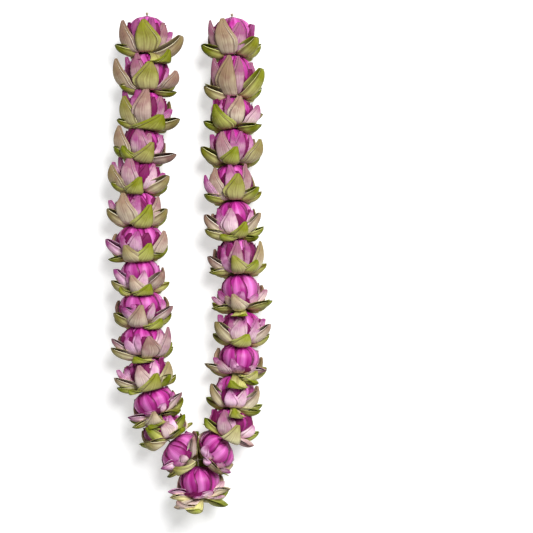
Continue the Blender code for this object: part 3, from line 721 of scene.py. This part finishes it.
def foot_piece(bloom):
    """The cut foot of the flower that the petals grow from."""
    deselect_all()
    bpy.ops.mesh.primitive_cylinder_add(vertices=32, radius=FOOT_RADIUS, depth=FOOT_THICKNESS,
                                        end_fill_type="NGON", location=(0.0, 0.0, FOOT_HEIGHT))
    obj = bpy.context.object
    bpy.ops.object.transform_apply(location=True)
    bpy.ops.object.mode_set(mode="EDIT")
    bpy.ops.mesh.select_mode(type="FACE")
    bpy.ops.mesh.select_all(action="SELECT")
    bpy.ops.mesh.inset(thickness=FOOT_RIM)
    bpy.ops.object.mode_set(mode="OBJECT")
    places = places_of(obj.data) * [bloom["width"], bloom["width"], bloom["height"]]
    places = places @ bloom["turn"] + bloom["start"]
    obj.data.vertices.foreach_set("co", (places * MM).ravel())
    obj.data.materials.append(MATERIALS["foot"])
    return obj


class Tone:
    """A socket that shader maths can be written with."""

    def __init__(self, paint, socket):
        self.paint, self.socket = paint, socket

    def maths(self, operation, *values):
        return self.paint.node("Math", dict(operation=operation), dict(enumerate(values)))

    def __add__(self, other):
        return self.maths("ADD", self, other)

    def __sub__(self, other):
        return self.maths("SUBTRACT", self, other)

    def __rsub__(self, other):
        return self.maths("SUBTRACT", other, self)

    def __mul__(self, other):
        return self.maths("MULTIPLY", self, other)

    def __pow__(self, other):
        return self.maths("POWER", self, other)

    def __abs__(self):
        return self.maths("ABSOLUTE", self)

    def clipped(self):
        return self.paint.node("Clamp", {}, {"Value": self})

    def bump(self, strength, distance):
        return self.paint.node("Bump", {}, {"Height": self, "Strength": strength,
                                            "Distance": distance})


class Paint:
    """A material and the nodes that make it."""

    def __init__(self, name):
        self.material = bpy.data.materials.new(name)
        self.material.use_nodes = True
        self.tree = self.material.node_tree
        self.shader = self.tree.nodes["Principled BSDF"]

    def feed(self, socket, value):
        """Give a socket a link, a colour or a number."""
        value = value.socket if isinstance(value, Tone) else value
        if isinstance(value, bpy.types.NodeSocket):
            self.tree.links.new(value, socket)
        elif isinstance(value, tuple) and len(value) == 3 and socket.type == "RGBA":
            socket.default_value = (*value, 1.0)
        else:
            socket.default_value = value

    def node(self, kind, settings, inputs, output=0):
        """Any node, by its settings and its sockets' values."""
        node = self.tree.nodes.new("ShaderNode" + kind)
        for name, value in settings.items():
            setattr(node, name, value)
        for name, value in inputs.items():
            self.feed(node.inputs[name], value)
        return Tone(self, node.outputs[output])

    def place(self):
        """Where a point lies on its piece, in m."""
        return self.node("TexCoord", {}, {}, output=3)

    def attribute(self, name):
        return self.node("Attribute", dict(attribute_name=name), {}, output=2)

    def noise(self, place, scale, detail=3.0):
        return self.node("TexNoise", {}, {"Vector": place, "Scale": scale, "Detail": detail})

    def blush_ramp(self, blush, tints):
        """The tint for a blush, from the tints at BLUSHES."""
        tone = self.node("ValToRGB", {}, {0: blush})
        elements = tone.socket.node.color_ramp.elements
        while len(elements) < len(tints):
            elements.new(0.5)
        for element, place, tint in zip(elements, BLUSHES, tints):
            element.position = place
            element.color = (*tint, 1.0)
        return tone

    def mix(self, factor, first, second, blend="MIX"):
        return self.node("Mix", dict(data_type="RGBA", blend_type=blend, clamp_factor=True),
                         {0: factor, 6: first, 7: second}, output=2)

    def tinted(self, colour, tint):
        return self.mix(1.0, colour, tint, "MULTIPLY")

    def darkened(self, factor, colour, tint):
        """A colour that takes on a dark tint as far as the factor says."""
        return self.mix(factor, colour, self.tinted(colour, tint))

    def surface(self, specular=0.5, **values):
        """Finish the material: the shader's inputs by their names in lower case."""
        self.shader.inputs["Specular IOR Level"].default_value = specular
        for name, value in values.items():
            self.feed(self.shader.inputs[name.replace("_", " ").title()], value)
        return self.material


def petal_uv(paint):
    """The map of a petal, and how far across and along the petal a point lies."""
    uv = paint.node("UVMap", {}, {})
    across = paint.node("SeparateXYZ", {}, {0: uv})
    return uv, across, Tone(paint, across.socket.node.outputs[1])


def streaks(paint, uv, fine, long, detail=3.0):
    """Veins that run along the petal: noise drawn out along its length."""
    return paint.noise(paint.node("Mapping", {}, {"Vector": uv, "Scale": (fine, long, 1.0)}), 1.0,
                       detail)


# A petal's tints at these blushes, from lime to pink: at its tip, at its base and in its fold.
BLUSHES = (0.0, 0.25, 0.5, 0.75, 0.88, 1.0)
TIP_TINTS = ((0.17, 0.245, 0.001), (0.28, 0.31, 0.015), (0.41, 0.3, 0.18), (0.4, 0.19, 0.24),
             (0.42, 0.08, 0.3), (0.22, 0.010, 0.11))
BASE_TINTS = ((0.56, 0.64, 0.08), (0.82, 0.8, 0.36), (0.96, 0.88, 0.68), (0.98, 0.81, 0.82),
              (0.98, 0.63, 0.86), (0.3, 0.025, 0.18))
FOLD_TINTS = ((0.06, 0.08, 0.001), (0.2, 0.18, 0.010), (0.33, 0.15, 0.09), (0.38, 0.09, 0.17),
              (0.4, 0.05, 0.19), (0.34, 0.02, 0.15))
# What darkens it: its veins, its edges, its fold line and its root, and in its fold depth and
# veins.
# All but the veins are painted shade; the edges are also the petal's own darker rims.
VEIN_TINT = (0.44, 0.35, 0.33)
RIM_AND_SHADE_TINT = (0.24, 0.15, 0.15)
CREASE_SHADE_TINT = (0.5, 0.4, 0.4)
ROOT_SHADE_TINT = (0.3, 0.2, 0.2)
DEPTH_SHADE_TINT = (0.22, 0.18, 0.18)
FOLD_VEIN_TINT = (0.6, 0.5, 0.5)
# The closed bud: dark and bright streaks, painted highlight bands, veins and painted edge shade.
BUD_DARK = (0.32, 0.006, 0.17)
BUD_BRIGHT = (0.86, 0.08, 0.61)
BUD_HIGHLIGHT = (0.95, 0.42, 0.86)
BUD_VEIN = (0.26, 0.004, 0.13)
BUD_EDGE_SHADE = (0.09, 0.002, 0.03)
# How much these two mirror.
PETAL_SPECULAR = 0.15
BUD_SPECULAR = 0.3


def petal_outside():
    """The skin that shows on a folded petal."""
    paint = Paint("petal_outside")
    uv, across, along = petal_uv(paint)
    blush, shade = paint.attribute("blush"), paint.attribute("shade")
    blotch = paint.noise(paint.place(), 120.0)
    # a petal's blush is uneven over its face
    blush = (blush + (blotch - 0.5) * 0.22).clipped()
    tip, base = paint.blush_ramp(blush, TIP_TINTS), paint.blush_ramp(blush, BASE_TINTS)
    rise = (along * 1.8 - 0.42 + (blotch - 0.5) * 0.9 + (0.68 - shade) * 0.6).clipped()
    colour = paint.mix(rise, base, tip)
    # dark veins run from the base to the peak
    veins = streaks(paint, uv, 30.0, 1.3)
    broad = streaks(paint, uv, 11.0, 0.8, 1.0)
    depth = ((veins - 0.46) * 5.0).clipped() * 0.5 + ((broad - 0.5) * 3.0).clipped() * 0.5
    colour = paint.darkened((depth + (1.0 - shade) * 0.6).clipped(), colour, VEIN_TINT)
    # its edges by the mouth and the fold are darker: partly their own rims, partly painted shade
    off_fold = abs(across - 0.5)
    rims_and_shade = ((0.075 - across) * 18.0).clipped() + ((0.075 - off_fold) * 18.0).clipped()
    colour = paint.darkened(rims_and_shade * 0.95, colour, RIM_AND_SHADE_TINT)
    # a painted highlight along the lip of the mouth
    colour = paint.mix(((0.025 - across) * 60.0).clipped() * 0.7, colour, base)
    # painted shade along the fold line, where a neighbour's shadow falls
    crease_shade = paint.tinted(paint.blush_ramp(blush, FOLD_TINTS), CREASE_SHADE_TINT)
    colour = paint.mix(((0.04 - off_fold) * 40.0).clipped() * 0.85, colour, crease_shade)
    # painted shade at the root, which lies in the shade of the bud
    colour = paint.darkened((1.0 - along * 5.0).clipped() * 0.7, colour, ROOT_SHADE_TINT)
    return paint.surface(PETAL_SPECULAR, base_color=colour, roughness=veins * 0.2 + 0.5,
                         normal=veins.bump(0.5, 0.0005))


def petal_inside():
    """The skin within a petal's fold, with painted shade darkest in its depth."""
    paint = Paint("petal_inside")
    uv, across = petal_uv(paint)[:2]
    inside = paint.blush_ramp(paint.attribute("blush"), FOLD_TINTS)
    # painted shade: darker deep in the fold, lighter towards its free edges
    edge = (abs(across - 0.5) * 2.0) ** 1.3
    colour = paint.mix(edge.clipped(), paint.tinted(inside, DEPTH_SHADE_TINT), inside)
    veins = streaks(paint, uv, 46.0, 1.6)
    colour = paint.darkened(veins * 0.5, colour, FOLD_VEIN_TINT)
    return paint.surface(PETAL_SPECULAR, base_color=colour, roughness=veins * 0.2 + 0.5)


def bud_skin():
    """The closed bud: magenta petals with a painted highlight down the middle and painted shade at
    the edges.
    """
    paint = Paint("bud_skin")
    uv, across, along = petal_uv(paint)
    shade = paint.attribute("shade")
    side = (abs(across - 0.5) * 2.0).clipped()
    veins = streaks(paint, uv, 40.0, 1.2)
    broad = streaks(paint, uv, 6.0, 0.7, 1.0)
    colour = paint.mix(((broad - 0.35) * 2.2).clipped(), BUD_DARK, BUD_BRIGHT)
    # a painted highlight, lighter down each petal's middle and towards its base
    highlight = (1.0 - side * 1.6) * (1.15 - along) + (broad - 0.5) * 0.6 + (shade - 0.5) * 0.5
    colour = paint.mix(highlight.clipped() * 0.62, colour, BUD_HIGHLIGHT)
    colour = paint.mix(((veins - 0.48) * 4.0).clipped() * 0.5, colour, BUD_VEIN)
    # painted shade along the edges, where the petals overlap
    colour = paint.mix((side ** 2.4 * 0.95).clipped(), colour, BUD_EDGE_SHADE)
    return paint.surface(BUD_SPECULAR, base_color=colour, roughness=veins * 0.18 + 0.36,
                         normal=veins.bump(0.4, 0.0004))


def cut_foot():
    paint = Paint("cut_foot")
    colour = paint.mix(paint.noise(paint.place(), 900.0), (0.40, 0.44, 0.16), (0.62, 0.60, 0.34))
    return paint.surface(base_color=colour, roughness=0.6)


def cotton_thread():
    paint = Paint("cotton_thread")
    wave = paint.node("TexWave", dict(bands_direction="DIAGONAL"),
                      {"Vector": paint.place(), "Scale": 700.0, "Distortion": 1.5})
    colour = paint.mix(wave, (0.22, 0.19, 0.12), (0.36, 0.31, 0.21))
    return paint.surface(base_color=colour, roughness=0.9)


MATERIALS = {"outside": petal_outside(), "inside": petal_inside(), "bud": bud_skin(),
             "foot": cut_foot(), "thread": cotton_thread()}


def joined(name, parts, node):
    """One piece from its parts, on the garland's body, in place of its node."""
    deselect_all()
    for part in parts:
        part.select_set(True)
    bpy.context.view_layer.objects.active = parts[0]
    bpy.ops.object.join()
    piece = bpy.context.object
    piece.name = name
    piece.data.name = name
    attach(piece, "root")
    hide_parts(node)


def dress_bloom(bloom, templates):
    """Make both pieces of a bloom: its pink bud, and its green petals on their foot."""
    dice = random.Random(bloom["name"] + "shade")
    pinks, greens = bud_pieces(bloom, templates["bud"]), []
    light = 1.0 - TOP_DUSK * bloom["place"] / TOP_PLACE
    for smooth, petals in ((False, inner_petals(bloom)), (True, front_petals(bloom)),
                           (False, back_petals(bloom))):
        for petal in petals:
            shade = (LEAST_SHADE + SHADE_SPREAD * dice.random() ** 0.5) * light
            if LOW_PINK_BLUSH <= petal["blush"] <= 1.0 and petal["way"][2][1] < LOW_PINK_TOP:
                shade += LOW_PINK_LIGHT
            obj = placed_petal(templates[petal["style"], smooth], petal, bloom, shade)
            (pinks if petal["blush"] >= PINK_BLUSH else greens).append(obj)
    greens.append(foot_piece(bloom))
    name = bloom["name"]
    joined(f"{name}_bud", pinks, f"{name}_pink_bud")
    joined(f"{name}_petals", greens, f"{name}_green_petals")


def make_templates():
    """The flat petals that all others are copied from; those in front are smoothed as well."""
    templates = {}
    for name, style in PETAL_STYLES.items():
        for smooth in (True, False):
            obj = folded_petal(style, smooth)
            obj.data.materials.append(MATERIALS["outside"])
            obj.data.materials.append(MATERIALS["inside"])
            obj["length"] = style["length"]
            templates[name, smooth] = obj
    templates["bud"] = bud_petal()
    templates["bud"].data.materials.append(MATERIALS["bud"])
    return templates


# The camera looks straight down, with the photograph's framing: the middle and the width of the
# view, its distance and the sensor in mm, and how near and far it sees in m.
CENTRE = (84.7, -9.5)
VIEW_WIDTH = 586.3
VIEW_DISTANCE = 1700.0
SENSOR = 36.0
CLIPS = (0.05, 50.0)

# The floor's size in m and its glow, the light of the surroundings, and the lamps: place and size
# in m, power in W.
FLOOR_SIZE = 8.0
FLOOR_GLOW = 0.52
WORLD_LIGHT = 0.08
LAMPS = {"key": ((0.75, 0.9, 1.9), 1.0, 77.0), "fill": ((-1.0, -0.2, 2.2), 1.4, 7.0)}


def set_camera():
    data = bpy.data.cameras.new("camera")
    data.sensor_width = SENSOR
    data.lens = SENSOR * VIEW_DISTANCE / VIEW_WIDTH
    data.clip_start, data.clip_end = CLIPS
    camera = linked("camera", data)
    camera.location = Vector((*CENTRE, AXIS_HEIGHT + VIEW_DISTANCE)) * MM
    bpy.context.scene.camera = camera


def set_lamp(name, place, size, power):
    """A square lamp that is turned to the middle of the frame."""
    data = bpy.data.lights.new(name, "AREA")
    data.energy = power
    data.size = size
    lamp = linked(name, data)
    lamp.location = place
    lamp.rotation_euler = (-Vector(place)).to_track_quat("-Z", "Y").to_euler()


def set_stage():
    deselect_all()
    bpy.ops.mesh.primitive_plane_add(size=FLOOR_SIZE, location=(0.0, 0.0, 0.0))
    floor = bpy.context.object
    floor.name = "floor"
    paint = Paint("floor_paper")
    grain = paint.noise(paint.place(), 30.0, 2.0)
    floor.data.materials.append(paint.surface(
        base_color=paint.mix(grain, (0.57, 0.57, 0.57), (0.59, 0.59, 0.59)), roughness=0.9,
        emission_color=(1.0, 1.0, 1.0), emission_strength=FLOOR_GLOW))
    world = bpy.data.worlds.new("studio")
    bpy.context.scene.world = world
    world.use_nodes = True
    sky = world.node_tree.nodes["Background"].inputs
    sky["Color"].default_value = (1.0, 1.0, 1.0, 1.0)
    sky["Strength"].default_value = WORLD_LIGHT
    for name, lamp in LAMPS.items():
        set_lamp(name, *lamp)
    bpy.context.scene.view_settings.view_transform = "Standard"


set_camera()
set_stage()
templates = make_templates()
blooms = [bloom for strand in STRANDS.items() for bloom in strand_blooms(*strand)]
add_parting_planes(blooms)
for bloom in blooms:
    dress_bloom(bloom, templates)
for template in templates.values():
    bpy.data.objects.remove(template, do_unlink=True)
for thread in ("neck_thread", "pendant_thread"):
    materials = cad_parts[thread].data.materials
    materials.clear()
    materials.append(MATERIALS["thread"])
